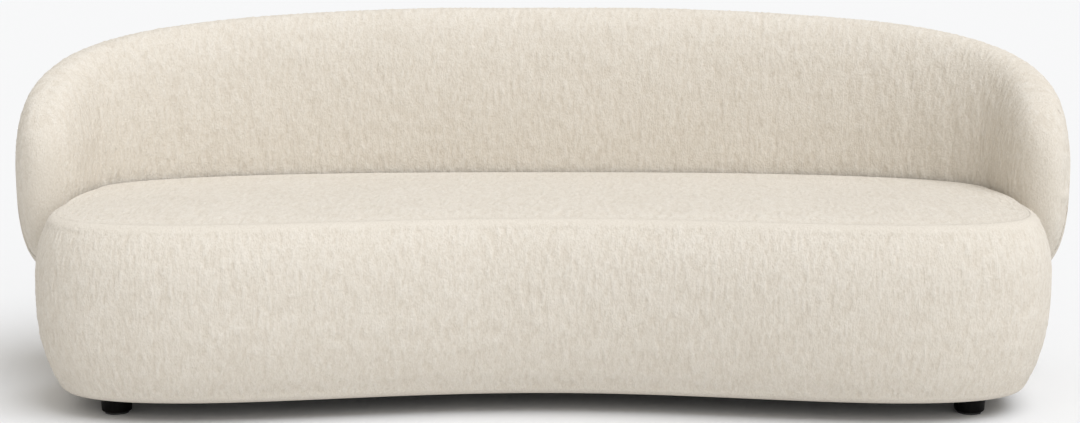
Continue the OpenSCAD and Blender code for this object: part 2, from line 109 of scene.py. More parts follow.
def smooth(t):
    """0 below 0, 1 above 1, and an even curve between."""
    c = np.clip(t, 0, 1)
    return c * c * (3 - 2 * c)


def mixed(a, b, t):
    """a where t is 0, b where it is 1, and a straight change between."""
    return a + (b - a) * t


def cosd(a):
    """Cosine of an angle in degrees."""
    return np.cos(np.radians(a))


def sind(a):
    """Sine of an angle in degrees."""
    return np.sin(np.radians(a))


def round_k(angle, n):
    """Distance from the middle of a squarish unit circle, whose power n is 2 for a true circle."""
    return (np.abs(cosd(angle)) ** n + np.abs(sind(angle)) ** n) ** (-1 / n)


def unit(v):
    return v / np.linalg.norm(v, axis=-1, keepdims=True)


def length_along(points):
    """Distance along a line of points, 0 at its first."""
    steps = np.linalg.norm(np.diff(points, axis=0), axis=1)
    return np.concatenate([[0.0], np.cumsum(steps)])


# ---- Seat outline ----

def bean(angle):
    """The free outline: a squarish oval whose front edge is hollow. Angle 0 is +X."""
    k = round_k(angle, SEAT_N)
    x = SEAT_HALF_W * k * cosd(angle)
    y = SEAT_YC + SEAT_HALF_D * k * sind(angle)
    hollow = SEAT_DIP * (1 + np.cos(np.pi * np.clip(np.abs(x) / SEAT_DIP_W, 0, 1))) / 2
    return np.stack([x, y + hollow * np.sqrt(np.clip(-sind(angle), 0, 1))], -1)


def bean_normal(angle):
    """Outward direction of the free outline."""
    t = bean(angle + 0.5) - bean(angle - 0.5)
    return unit(np.stack([t[..., 1], -t[..., 0]], -1))


def hug(angle, inset):
    """The line along the backrest's inner face, moved inward."""
    k = round_k(angle, BACK_N)
    c, s = k * cosd(angle), k * sind(angle)
    g = np.stack([np.sign(c) * np.abs(c) ** (BACK_N - 1) / BACK_HALF_W,
                  np.sign(s) * np.abs(s) ** (BACK_N - 1) / BACK_HALF_D], -1)
    line = np.stack([BACK_HALF_W * c, BACK_YC + BACK_HALF_D * s], -1)
    return line - unit(g) * (BACK_T + HUG_GAP + np.asarray(inset)[..., None])


def hugging(angle):
    """0 on the free outline, 1 where the seat lies between the arms."""
    return smooth((bean(angle)[..., 1] - HUG_Y0) / (HUG_Y1 - HUG_Y0))


def seat_plan(angle, inset=0.0, free_inset=0.0):
    """Outline of the seat moved inward by inset, and by free_inset more where it is free."""
    h = hugging(angle)
    inset = np.asarray(inset) + 0 * h
    free = bean(angle) - bean_normal(angle) * (inset + free_inset * (1 - h))[..., None]
    return mixed(free, hug(angle, inset), h[..., None])


def side_in(z):
    """How far the seat's side lies inside its widest line at height z."""
    up = np.clip((z - WIDE_Z) / (SEAM_Z - WIDE_Z), 0, None)
    down = np.clip((WIDE_Z - z) / (WIDE_Z - SEAT_Z0), 0, None)
    return TOP_IN * up ** SIDE_POWER + BOTTOM_IN * down ** SIDE_POWER


# ---- Backrest centre line ----

def back_at(angle):
    """Point of the centre line at an angle from the rear, to the right."""
    k = round_k(angle, BACK_N)
    return np.stack([BACK_HALF_W * k * sind(angle), BACK_YC + BACK_HALF_D * k * cosd(angle)], -1)


path_angles = np.linspace(0, BACK_END, 801)
path_lengths = length_along(back_at(path_angles))
HALF_LEN = path_lengths[-1]


def back_frame(u):
    """Point of the centre line at u, -1 at the left arm's end and 1 at the right, and the way outward."""
    angle = np.sign(u) * np.interp(np.abs(u) * HALF_LEN, path_lengths, path_angles)
    t = back_at(angle + 0.5) - back_at(angle - 0.5)
    return back_at(angle), unit(np.stack([-t[..., 1], t[..., 0]], -1))


def round_end(t, n):
    """Rises from 0 to 1 over t from 0 to 1 like a quarter of a squarish circle."""
    return (1 - (1 - np.clip(t, 0, 1)) ** n) ** (1 / n)


def from_end(u):
    """Distance along the centre line to the nearer arm's end."""
    return (1 - np.abs(u)) * HALF_LEN


def back_section(u, angle):
    """Distance outside the centre line, and height, of the backrest's surface at a section angle."""
    high = BACK_TOP - TOP_DROP * np.abs(u) ** DROP_POWER
    low = BACK_Z0 + BOTTOM_RISE * u * u
    half = (high - low) / 2 * round_end(from_end(u) / ARM_ROUND, ARM_ROUND_N)
    thick = BACK_T * round_end(from_end(u) / ARM_NOSE, ARM_NOSE_N)
    k = round_k(angle, SECTION_N)
    return thick * k * cosd(angle), (high + low) / 2 + half * k * sind(angle)


def back_point(u, angle):
    """Point on the backrest's surface at u and a section angle."""
    middle, outward = back_frame(u)
    outside, height = back_section(u, angle)
    return np.concatenate([middle + outward * outside[..., None], height[..., None]], -1)


def panel_share(u):
    """How far the oval outer panel has opened at u, from 0 to 1."""
    return round_end((from_end(u) - PANEL_FROM_END) / PANEL_EASE, 2)


def panel_high(u):
    """Section angle of the outer panel's upper edge."""
    return mixed(PANEL_SIDE, PANEL_TOP, panel_share(u))


def panel_low(u):
    """Section angle of the outer panel's lower edge."""
    return mixed(PANEL_SIDE, OUTER_END, panel_share(u))


def arm_part(u):
    """0 between the arms, 1 where the inner cover reaches round to the outer panel's lower edge."""
    return smooth((np.abs(u) - ARM_FROM) / ARM_BLEND)


# ---- Mesh helpers ----

def evenly(points, weights, count):
    """Fractional indices of count samples along a line of points, evenly spaced by length times weight."""
    steps = np.linalg.norm(np.diff(points, axis=0), axis=1) * (weights[1:] + weights[:-1]) / 2
    total = np.concatenate([[0.0], np.cumsum(steps)])
    return np.interp(np.linspace(0, total[-1], count), total, np.arange(len(points)))


def grid_normals(points, closed=False):
    """Unit normals of a grid points[row, column], on the side that rows x columns points to."""
    up = np.gradient(points, axis=0)
    if closed:
        across = np.roll(points, -1, 1) - np.roll(points, 1, 1)
    else:
        across = np.gradient(points, axis=1)
    n = np.cross(across, up)
    return n / np.maximum(np.linalg.norm(n, axis=-1, keepdims=True), 1e-12)


def lengths(points, axis):
    """Distance along one axis of a grid of points, from its first."""
    steps = np.linalg.norm(np.diff(points, axis=axis), axis=-1)
    start = np.zeros_like(np.take(steps, [0], axis))
    return np.concatenate([start, np.cumsum(steps, axis)], axis)


def grid_quads(rows, columns, closed):
    """Corner numbers of the quads between neighbouring rows and columns of a grid."""
    index = np.arange(rows * columns).reshape(rows, columns)
    if closed:
        index = np.concatenate([index, index[:, :1]], 1)
    return np.stack([index[:-1, :-1], index[:-1, 1:], index[1:, 1:], index[1:, :-1]], -1).reshape(-1, 4)


def grid_object(name, points, closed=False, slub=None):
    """A mesh of quads over points[row, column], where closed joins the last column to the first.

    slub is the yarn's height at each point, from 0 to 1, which the cloth's material reads to paint shade in
    its hollows and a highlight on its crests.
    """
    rows, columns = points.shape[:2]
    quads = grid_quads(rows, columns, closed)
    mesh = bpy.data.meshes.new(name)
    mesh.from_pydata(points.reshape(-1, 3).tolist(), [], quads.tolist())
    mesh.polygons.foreach_set("use_smooth", np.ones(len(quads), bool))
    if slub is not None:
        held = mesh.attributes.new("slub", "FLOAT", "POINT")
        held.data.foreach_set("value", slub.astype(np.float32).ravel())
    mesh.update()
    piece = bpy.data.objects.new(name, mesh)
    bpy.context.scene.collection.objects.link(piece)
    return piece


# ---- Yarn relief ----

class Relief:
    """A repeating patch of soft random bumps, blurred by different amounts across and along the yarn."""

    def __init__(self, seed, size, step, across, along):
        count = int(round(size / step))
        noise = np.random.default_rng(seed).standard_normal((count, count))
        waves = np.fft.fftfreq(count, step)
        kernel = np.exp(-2 * np.pi ** 2 * ((waves[:, None] * along) ** 2 + (waves[None] * across) ** 2))
        soft = np.real(np.fft.ifft2(np.fft.fft2(noise) * kernel))
        self.tile = (soft - soft.mean()) / soft.std()
        self.step = step

    def at(self, cloth):
        """Heights, with a spread of 1, at places on the cloth in metres."""
        count = len(self.tile)
        place = cloth / self.step
        low = np.floor(place).astype(int)
        part = place - low
        u0, v0 = low[..., 0] % count, low[..., 1] % count
        u1, v1 = (u0 + 1) % count, (v0 + 1) % count
        near = mixed(self.tile[v0, u0], self.tile[v0, u1], part[..., 0])
        far = mixed(self.tile[v1, u0], self.tile[v1, u1], part[..., 0])
        return mixed(near, far, part[..., 1])


slubs = Relief(seed=11, size=1.5, step=0.0012, across=0.0015, along=0.0052)
nubs = Relief(seed=12, size=1.5, step=0.0012, across=0.0014, along=0.0020)
lumps = Relief(seed=13, size=6.0, step=0.0100, across=0.070, along=0.085)
SLUB_HEIGHT = 0.00040
SLUB_PEAK = 1.25
NUB_HEIGHT = 0.00026
LUMP_HEIGHT = 0.0006


def cloth_relief(*views):
    """Height of the padded cloth's surface, and the yarn's part of it from 0, deep, to 1, proud.

    Each view is a pair: places on the cloth in metres, and how squarely the surface faces that way.
    """
    total = sum(weight ** 2 for places, weight in views) ** 0.5
    slub = sum(slubs.at(places) * weight for places, weight in views) / total
    nub = sum(nubs.at(places) * weight for places, weight in views) / total
    lump = sum(lumps.at(places) * weight for places, weight in views) / total
    slub = np.sign(slub) * np.abs(slub) ** SLUB_PEAK
    height = SLUB_HEIGHT * slub + NUB_HEIGHT * nub + LUMP_HEIGHT * lump
    return height, np.clip(0.5 + 0.24 * slub + 0.13 * nub, 0, 1)


# ---- Cloth simulation ----

PRESSURE = 4.0
# How strongly the foam holds the free cloth, where 1 is sewn down
FOAM_HOLD = 0.30
SIM_FRAMES = 20
MOVE_CAP = 0.005


def puffed(name, coarse, closed, pinned):
    """How far inner pressure lifts a coarse grid of cloth off the foam under it, held where it is pinned."""
    cloth_piece = grid_object(name, coarse, closed)
    group = cloth_piece.vertex_groups.new(name="held")
    group.add(np.flatnonzero(~pinned.ravel()).tolist(), FOAM_HOLD, "REPLACE")
    group.add(np.flatnonzero(pinned.ravel()).tolist(), 1.0, "REPLACE")
    cloth = cloth_piece.modifiers.new("cloth", "CLOTH")
    cloth.settings.vertex_group_mass = "held"
    cloth.settings.pin_stiffness = 1.0
    cloth.settings.air_damping = 4.0
    cloth.settings.use_pressure = True
    cloth.settings.uniform_pressure_force = PRESSURE
    cloth.settings.effector_weights.gravity = 0
    cloth.settings.quality = 5
    cloth.settings.mass = 0.05
    cloth.settings.tension_stiffness = 25
    cloth.settings.compression_stiffness = 25
    cloth.settings.shear_stiffness = 12
    cloth.settings.bending_stiffness = 2
    cloth.point_cache.frame_start = 1
    cloth.point_cache.frame_end = SIM_FRAMES
    for step in range(1, SIM_FRAMES + 1):
        bpy.context.scene.frame_set(step)
    with bpy.context.temp_override(object=cloth_piece, active_object=cloth_piece):
        bpy.ops.object.modifier_apply(modifier=cloth.name)
    after = np.empty(coarse.size, np.float32)
    cloth_piece.data.vertices.foreach_get("co", after)
    bpy.data.objects.remove(cloth_piece, do_unlink=True)
    bpy.context.scene.frame_set(1)
    lift = ((after.reshape(coarse.shape) - coarse) * grid_normals(coarse, closed)).sum(-1, keepdims=True)
    return MOVE_CAP * np.tanh(np.maximum(lift, 0) / MOVE_CAP)


def spread(coarse, rows, columns):
    """Values of a coarse grid at fractional rows and columns of it, smoothed between its points."""
    low = np.clip(np.floor(rows).astype(int), 0, coarse.shape[0] - 2)
    part = smooth(rows - low)[:, None, None]
    tall = mixed(coarse[low], coarse[low + 1], part)
    low = np.clip(np.floor(columns).astype(int), 0, coarse.shape[1] - 2)
    part = smooth(columns - low)[None, :, None]
    return mixed(tall[:, low], tall[:, low + 1], part)


# ---- Upholstery panels ----

TINY = 1e-7
# How far a cover lies under its CAD surface before the pressure swells it out again
SWELL = 0.0020
# Roundings of the band's lower edge, of its seam at the top, and of the top panel's own edge
EDGE_R = 0.014
SEAM_R = 0.015
ROLL_R = 0.012
# The top seam: its depth, and how far the top panel stands over the band, is turned down in it and laps it
VALLEY = 0.0022
PROUD = 0.0010
SKIRT = 0.006
LAP = 0.003
# How far the band's own edge goes in and down inside that seam
TUCK_IN, TUCK_DOWN = 0.002, 0.010
# The padded lower edge hangs EDGE_SAG under the carcass, fading out over LOW_REACH up the side
EDGE_SAG = 0.0038
LOW_REACH = 0.120
# The yarn fades out over TIP_FADE at an arm's end
TIP_FADE = 0.030
# The backrest's seam: its depth, half its width, and the length over which it opens from an arm's end
GROOVE_DEPTH = 0.0030
GROOVE_EASE = 0.0080
GROOVE_OPENS = 0.20
# Rows and columns of the fine cloth
BAND_ROWS, BAND_COLUMNS = 90, 1060
TOP_ROWS, TOP_COLUMNS = 140, 681
BACK_ROWS, BACK_COLUMNS = 112, 881
# How much closer the rows lie near a panel's edges, from 0 to 1
TOP_CROWDING = 0.6
BACK_CROWDING = 0.45
# Below this freedom a point of the cloth is pinned in the simulation
PINNED_BELOW = 0.35
# The band's columns lie closer in front of SHOWN_Y, with this share of that density behind it
SHOWN_Y, SHOWN_EASE = -0.12, 0.10
UNSEEN_DENSITY = 0.12
# How much closer the band's rows lie near its two edges, and how wide apart on the hem
EDGE_DENSITY = 1.6
HEM_DENSITY = 0.25
# Steps along an outline before its points are spaced out evenly
OUTLINE_STEPS = 3600
TOP_OUTLINE_STEPS = 6000


def edge_fractions(count, crowding):
    """Places from 0 to 1, closer together near both ends."""
    t = np.linspace(0, 1, count)
    return t - crowding * np.sin(2 * np.pi * t) / (2 * np.pi)


def walked(line, count):
    """Points evenly spaced along a line, a hair inside its two ends."""
    run = length_along(line)
    places = np.linspace(0.0005, run[-1] - 0.0005, count)
    return np.stack([np.interp(places, run, line[:, i]) for i in range(2)], -1)


def seat_band():
    """The band round the seat's side, from its hem under the seat to where it tucks in at the top seam."""
    angles = np.linspace(90, 450, OUTLINE_STEPS + 1)
    density = UNSEEN_DENSITY + (1 - smooth((seat_plan(angles)[:, 1] - SHOWN_Y) / SHOWN_EASE))
    columns = evenly(seat_plan(angles), density, BAND_COLUMNS + 1)[:-1]
    angles = np.interp(columns, np.arange(OUTLINE_STEPS + 1), angles)

    turn = np.linspace(0, 90, 13)
    hem = np.linspace(HEM_IN - BOTTOM_IN, EDGE_R, 12)[:-1]
    bottom = EDGE_R * (1 - sind(turn))
    side = np.linspace(SEAT_Z0 + EDGE_R, SEAM_Z - SEAM_R, 160)[1:-1]
    top = SEAM_R * (1 - cosd(turn))
    tuck = np.linspace(SEAM_R, SEAM_R + TUCK_IN, 4)[1:]
    inset = np.concatenate([hem, bottom, 0 * side, top, tuck])
    height = np.concatenate([SEAT_Z0 + 0 * hem, SEAT_Z0 + EDGE_R * (1 - cosd(turn)), side,
                             SEAM_Z - SEAM_R * (1 - sind(turn)),
                             np.linspace(SEAM_Z, SEAM_Z - TUCK_DOWN, 4)[1:]])
    profile = np.stack([inset + side_in(height), height], -1)
    near_edge = smooth((height - SEAM_Z + 0.03) / 0.02) + smooth((SEAT_Z0 + 0.04 - height) / 0.02)
    fine = np.where(inset > EDGE_R, HEM_DENSITY, 1 + EDGE_DENSITY * near_edge)
    rows = evenly(profile, fine, BAND_ROWS)
    inset = np.interp(rows, np.arange(len(height)), inset)
    height = np.interp(rows, np.arange(len(height)), height)

    top_z = mixed(SEAM_Z, LOW_TOP_Z, smooth((seat_plan(angles)[:, 1] - LOW_Y0) / (LOW_Y1 - LOW_Y0)))
    z = SEAT_Z0 + (height[:, None] - SEAT_Z0) * (top_z - SEAT_Z0)[None] / (SEAM_Z - SEAT_Z0)
    plan = seat_plan(np.broadcast_to(angles, z.shape), inset[:, None] + 0 * z, side_in(z))
    turned_in = (inset - EDGE_R) / (hem[0] - EDGE_R)
    low = smooth((LOW_REACH - height + SEAT_Z0) / LOW_REACH) * smooth(1 - turned_in)
    z = z - EDGE_SAG * low[:, None]
    base = np.concatenate([plan, z[..., None]], -1)

    run = np.broadcast_to(lengths(base, 1)[len(base) // 2], z.shape)
    relief = cloth_relief((np.stack([run, lengths(base, 0)], -1), 1))
    side_share = smooth((height - SEAT_Z0 - 0.004) / 0.02) * smooth((SEAM_Z - 0.001 - height) / 0.02)
    side_share = side_share[:, None] * (1 - hugging(angles))[None]
    return finished("seat_band_cloth", base, relief, side_share, 1, True,
                    ["seat_cover_band", "seat_side_foam"], rows_apart=4, columns_apart=5)


def seat_top():
    """The panel on top of the seat, from the band's seam at the front to the backrest."""
    angles = np.linspace(0, 360, 2 * OUTLINE_STEPS + 1)[:-1]
    outline = seat_plan(angles, SEAM_R - LAP, TOP_IN)
    right, left = angles[outline[:, 0].argmax()], angles[outline[:, 0].argmin()]
    right = right - 360 if right > 180 else right
    front = seat_plan(np.linspace(left, right + 360, TOP_OUTLINE_STEPS + 1), SEAM_R - LAP, TOP_IN)
    rear = seat_plan(np.linspace(left, right, TOP_OUTLINE_STEPS + 1), SEAM_R - LAP, TOP_IN)
    rows = edge_fractions(TOP_ROWS, TOP_CROWDING)[:, None, None]
    place = mixed(walked(front, TOP_COLUMNS)[None], walked(rear, TOP_COLUMNS)[None], rows)
    edge = distance_to(place, np.concatenate([front, rear]))
    roll = np.sqrt(1 - (1 - np.clip(edge / ROLL_R, 0, 1)) ** 2)
    crown = 1 - (1 - np.clip(distance_to(place, front) / CROWN_EASE, 0, 1)) ** 2
    z = SEAM_Z + PROUD - VALLEY * (1 - roll) + CROWN * crown
    base = np.concatenate([place, z[..., None]], -1)
    skirt = base[[0, -1]] - [0, 0, SKIRT]
    base = np.concatenate([skirt[:1], base, skirt[1:]])
    edge = np.concatenate([edge[:1], edge, edge[-1:]])
    share = smooth((edge - 0.002) / 0.012)
    return finished("seat_top_cloth", base, cloth_relief((base[..., :2], 1)), share, 1, False,
                    ["seat_cover_top", "seat_top_foam"], rows_apart=6, columns_apart=7, margin=16)


def distance_to(place, line):
    """Distance in plan from each place to the nearest point of a line."""
    tree = KDTree(len(line))
    for i, (x, y) in enumerate(line.tolist()):
        tree.insert((x, y, 0), i)
    tree.balance()
    flat = [tree.find((x, y, 0))[2] for x, y in place.reshape(-1, 2).tolist()]
    return np.array(flat).reshape(place.shape[:2])


def back_columns(count):
    """Places along the backrest, evenly spaced over its surface, and closer where the oval panel opens."""
    half = np.linspace(0, 1, 1501) ** 3
    u = np.concatenate([half - 1, (1 - half[::-1])[1:]])
    around = np.arange(20, 380, 40.0)
    surface = back_point(u[:, None] + 0 * around, around + 0 * u[:, None])
    steps = np.linalg.norm(np.diff(surface, axis=0), axis=-1).mean(1)
    total = np.concatenate([[0.0], np.cumsum(steps)])
    even = np.interp(np.linspace(0, total[-1], count), total, u)
    opening = 1 - (PANEL_FROM_END + np.array([0, 0.0002, 0.0007, 0.0016])) / HALF_LEN
    return np.unique(np.concatenate([even, opening, -opening]))


def back_panel(u, start, end, rows):
    """Angles at places along each ring between two edges, rows being shares of the way by length."""
    share = np.linspace(0, 1, 181)[:, None]
    angle = mixed(start[None], end[None], share)
    run = lengths(back_point(u + 0 * angle, angle), 0)
    return np.stack([np.interp(rows * run[-1, k], run[:, k], angle[:, k]) for k in range(len(u))], 1), run[-1]


def back_relief(u, angle, points):
    """The cloth's relief seen from the side, the arms' ends and above, each where it faces that way."""
    outside, height = back_section(u + 0 * angle, angle)
    along = u * HALF_LEN + 0 * angle
    outward = back_frame(u)[1]
    normal = grid_normals(points)
    side = np.abs(normal[..., 0] * outward[:, 0] + normal[..., 1] * outward[:, 1])
    end = np.abs(normal[..., 0] * outward[:, 1] - normal[..., 1] * outward[:, 0])
    places = [(along, height), (outside, height), (along, outside)]
    facing = np.stack([side, end, np.abs(normal[..., 2])]) ** 5
    return cloth_relief(*[(np.stack(place, -1), weight + 1e-6) for place, weight in zip(places, facing)])


def back_inner():
    """The cover over the backrest's inner face, its top and the arms' noses."""
    u = back_columns(BACK_COLUMNS)
    end = mixed(INNER_END, 360 + panel_low(u), arm_part(u))
    rows = edge_fractions(BACK_ROWS, BACK_CROWDING)
    angle, run = back_panel(u, end, panel_high(u), rows)
    base = back_point(u + 0 * angle, angle)
    edge = np.minimum(rows, 1 - rows)[:, None] * run[None]
    return finished("back_inner_cloth", base, back_relief(u, angle, base), *seam_shares(u, edge), False,
                    ["back_cover_inner", "back_foam_inner", "arm_foam_left", "arm_foam_right"],
                    rows_apart=5, columns_apart=5, margin=8, welded=True)


def back_outer():
    """The oval panel over the backrest's outside."""
    u = back_columns(BACK_COLUMNS)
    u = u[from_end(u) > PANEL_FROM_END - TINY]
    rows = edge_fractions(BACK_ROWS, BACK_CROWDING)
    angle, run = back_panel(u, panel_high(u), panel_low(u), rows)
    base = back_point(u + 0 * angle, angle)
    edge = np.minimum(rows, 1 - rows)[:, None] * run[None]
    return finished("back_outer_cloth", base, back_relief(u, angle, base), *seam_shares(u, edge), False,
                    ["back_cover_outer", "back_foam_outer"], rows_apart=5, columns_apart=5, margin=4,
                    welded=True)


def seam_shares(u, edge):
    """How freely the cloth moves, and how far it stands out of the seam, at a distance from its edge."""
    free = smooth(edge / 0.02) * smooth(from_end(u) / TIP_FADE)[None]
    open_share = smooth((from_end(u) - PANEL_FROM_END) / GROOVE_OPENS)[None]
    groove = 1 - (1 - smooth(edge / GROOVE_EASE)) * open_share
    return free, groove


def finished(name, base, relief, free, groove, closed, nodes, rows_apart, columns_apart, margin=0,
             welded=False):
    """A panel made of its base shape, the swelling under the cloth and the yarn's relief.

    free says where the cloth may move, from 0 to 1, and groove is 0 where it is drawn into a seam and 1 away
    from it. The simulation runs on about every rows_apart-th row and columns_apart-th column, leaving out
    margin columns at each end.
    """
    rows, columns = base.shape[:2]
    out = grid_normals(base, closed)
    sunk = base - out * (SWELL * free)[..., None]

    few_rows = np.linspace(0, rows - 1, rows // rows_apart).round().astype(int)
    few_columns = np.linspace(margin, columns - 1 - margin, columns // columns_apart).round().astype(int)
    coarse = sunk[few_rows][:, few_columns]
    held = free[few_rows][:, few_columns] < PINNED_BELOW
    held[:, [0, -1]] |= not closed
    lift = puffed(name + "_sim", coarse, closed, held)
    row_place = np.interp(np.arange(rows), few_rows, np.arange(len(few_rows)))
    column_place = np.interp(np.arange(columns), few_columns, np.arange(len(few_columns)))
    swell = spread(lift, row_place, column_place)[..., 0]

    height, slub = relief
    stand = free * (swell + height) - GROOVE_DEPTH * (1 - groove)
    points = sunk + out * stand[..., None]
    piece = grid_object(name, points, closed, mixed(0.5, slub, free))
    if welded:
        weld(piece)
    piece.data.materials.append(boucle)
    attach(piece, ROOT)
    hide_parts(*nodes)
    return piece


def weld(piece):
    """Join the points that lie in one place, at the arms' ends and where the cover's two edges meet."""
    bm = bmesh.new()
    bm.from_mesh(piece.data)
    bmesh.ops.remove_doubles(bm, verts=bm.verts, dist=0.00005)
    bm.to_mesh(piece.data)
    bm.free()


# ---- Materials ----

def material(name, color, roughness, **sockets):
    """A new material with its Principled shader's plain values set, and its nodes to add to."""
    made = bpy.data.materials.new(name)
    made.use_nodes = True
    shader = made.node_tree.nodes["Principled BSDF"]
    shader.inputs["Base Color"].default_value = (*color, 1)
    shader.inputs["Roughness"].default_value = roughness
    for socket, value in sockets.items():
        shader.inputs[socket.replace("_", " ")].default_value = value
    made.diffuse_color = (*color, 1)
    return made, made.node_tree, shader


def add(tree, kind, **settings):
    """A new node; settings name its properties, or its inputs by their title with _ for a space."""
    made = tree.nodes.new(kind)
    for key, value in settings.items():
        title = key.replace("_", " ")
        if title in made.inputs:
            made.inputs[title].default_value = value
        else:
            setattr(made, key, value)
    return made


def scaled(tree, output, scale):
    """Texture coordinates stretched by scale."""
    mapping = add(tree, "ShaderNodeMapping", Scale=scale)
    tree.links.new(output, mapping.inputs["Vector"])
    return mapping.outputs["Vector"]


def noise(tree, vector, scale, detail=3.0, roughness=0.55):
    """Soft noise, mostly between 0 and 1."""
    made = add(tree, "ShaderNodeTexNoise", Scale=scale, Detail=detail, Roughness=roughness)
    tree.links.new(vector, made.inputs["Vector"])
    return made.outputs["Fac"]


def ramp(tree, factor, *stops):
    """A colour ramp over factor; stops are (position, colour)."""
    made = add(tree, "ShaderNodeValToRGB")
    elements = made.color_ramp.elements
    while len(elements) < len(stops):
        elements.new(0.5)
    for element, (position, color) in zip(elements, stops):
        element.position = position
        element.color = (*color, 1)
    tree.links.new(factor, made.inputs["Fac"])
    return made.outputs["Color"]


# The Mix node's own numbers for its factor and colour sockets
MIX_FACTOR, MIX_A, MIX_B, MIX_RESULT = 0, 6, 7, 2


def blended(tree, kind, factor, a, b):
    """Two colours mixed, by a factor that is a number or an output."""
    made = add(tree, "ShaderNodeMix", data_type="RGBA", blend_type=kind)
    for place, value in ((MIX_FACTOR, factor), (MIX_A, a), (MIX_B, b)):
        if isinstance(value, bpy.types.NodeSocket):
            tree.links.new(value, made.inputs[place])
        else:
            made.inputs[place].default_value = value
    return made.outputs[MIX_RESULT]


def bumped(tree, shader, height, distance, strength=1.0):
    """Fine relief on the shader, of the given height in metres."""
    bump = add(tree, "ShaderNodeBump", Strength=strength, Distance=distance)
    tree.links.new(height, bump.inputs["Height"])
    tree.links.new(bump.outputs["Normal"], shader.inputs["Normal"])


def weighed(tree, value, weight, rest):
    """value times weight, plus rest."""
    made = add(tree, "ShaderNodeMath", operation="MULTIPLY_ADD")
    tree.links.new(value, made.inputs[0])
    made.inputs[1].default_value = weight
    tree.links.new(rest, made.inputs[2])
    return made.outputs["Value"]


# Yarn colours by slub height: painted shade deep between the slubs, the plain yarn colour between, and a
# painted highlight on the crests
YARN_PAINTED_SHADE = (0.690, 0.634, 0.553)
YARN_MIDDLE = (0.722, 0.670, 0.592)
YARN_PAINTED_HIGHLIGHT = (0.744, 0.696, 0.622)
WHITE = (1.0, 1.0, 1.0)


def boucle_material():
    """Ivory looped yarn with painted shade between the slubs and a painted highlight on their crests, with
    small loops whose gaps carry painted shade, and fine lines.
    """
    made, tree, shader = material("boucle_ivory", (0.78, 0.72, 0.63), 0.95, Specular_IOR_Level=0.18,
                                  Sheen_Weight=0.10, Sheen_Roughness=0.50, Sheen_Tint=(1.0, 0.97, 0.92, 1))
    place = add(tree, "ShaderNodeTexCoord").outputs["Object"]
    slub = add(tree, "ShaderNodeAttribute", attribute_name="slub").outputs["Fac"]
    loops = add(tree, "ShaderNodeTexVoronoi", feature="SMOOTH_F1", Scale=1.0, Smoothness=0.6)
    tree.links.new(scaled(tree, place, (270, 270, 190)), loops.inputs["Vector"])
    fibre = noise(tree, scaled(tree, place, (1, 1, 0.6)), 700, 3, 0.6)
    streaks = noise(tree, scaled(tree, place, (400, 400, 70)), 1.0, 2)
    tone = noise(tree, place, 7, 2)

    # Painted shade where the yarn lies deep, painted highlight where it stands proud
    color = ramp(tree, slub, (0.10, YARN_PAINTED_SHADE), (0.50, YARN_MIDDLE), (0.90, YARN_PAINTED_HIGHLIGHT))
    # Painted shade in the gaps between the small loops, where their bump is lowest
    painted_gap_shade = ramp(tree, loops.outputs["Distance"], (0.30, WHITE), (0.90, (0.90, 0.89, 0.87)))
    color = blended(tree, "MULTIPLY", 0.75, color, painted_gap_shade)
    cloudy = ramp(tree, tone, (0.35, (0.980, 0.978, 0.974)), (0.65, WHITE))
    color = blended(tree, "MULTIPLY", 1.0, color, cloudy)
    lines = ramp(tree, streaks, (0.32, (0.945, 0.938, 0.925)), (0.62, WHITE))
    color = blended(tree, "MULTIPLY", 1.0, color, lines)
    tree.links.new(color, shader.inputs["Base Color"])

    height = weighed(tree, loops.outputs["Distance"], -0.8, weighed(tree, streaks, 1.1, fibre))
    bumped(tree, shader, height, 0.0012, 0.85)
    return made


GRAIN_ACROSS, GRAIN_ALONG = 260.0, 14.0
GRAIN_TO_TONE = 12


def wood_material(name, pale, dark, roughness, along, **sockets):
    """Wood with fine streaks along one axis and slow changes of tone across it."""
    made, tree, shader = material(name, pale, roughness, **sockets)
    place = add(tree, "ShaderNodeTexCoord").outputs["Object"]
    fine = [GRAIN_ACROSS] * 3
    fine[along] = GRAIN_ALONG
    grain = noise(tree, scaled(tree, place, fine), 1.0, 4, 0.6)
    slow = noise(tree, scaled(tree, place, [value / GRAIN_TO_TONE for value in fine]), 1.0, 2)
    color = ramp(tree, grain, (0.30, dark), (0.62, pale))
    tones = ramp(tree, slow, (0.35, (0.86, 0.84, 0.82)), (0.65, WHITE))
    tree.links.new(blended(tree, "MULTIPLY", 1.0, color, tones), shader.inputs["Base Color"])
    shine = add(tree, "ShaderNodeMapRange")
    tree.links.new(grain, shine.inputs["Value"])
    shine.inputs["To Min"].default_value = roughness + 0.08
    shine.inputs["To Max"].default_value = roughness - 0.06
    tree.links.new(shine.outputs["Result"], shader.inputs["Roughness"])
    bumped(tree, shader, grain, 0.0003, 0.5)
    return made


def plywood_material():
    """Birch plywood: thin layers that show as bands on every edge."""
    made, tree, shader = material("birch_plywood", (0.78, 0.62, 0.42), 0.62)
    place = add(tree, "ShaderNodeTexCoord").outputs["Object"]
    bands = add(tree, "ShaderNodeTexWave", bands_direction="Z", Scale=90.0, Distortion=0.6,
                Detail=1.0, Detail_Scale=3.0)
    tree.links.new(place, bands.inputs["Vector"])
    grain = noise(tree, scaled(tree, place, (18, 300, 60)), 1.0, 4)
    color = ramp(tree, grain, (0.30, (0.60, 0.44, 0.27)), (0.65, (0.80, 0.65, 0.46)))
    layer = ramp(tree, bands.outputs["Color"], (0.35, (0.72, 0.66, 0.58)), (0.65, WHITE))
    tree.links.new(blended(tree, "MULTIPLY", 0.6, color, layer), shader.inputs["Base Color"])
    bumped(tree, shader, grain, 0.0003, 0.4)
    return made


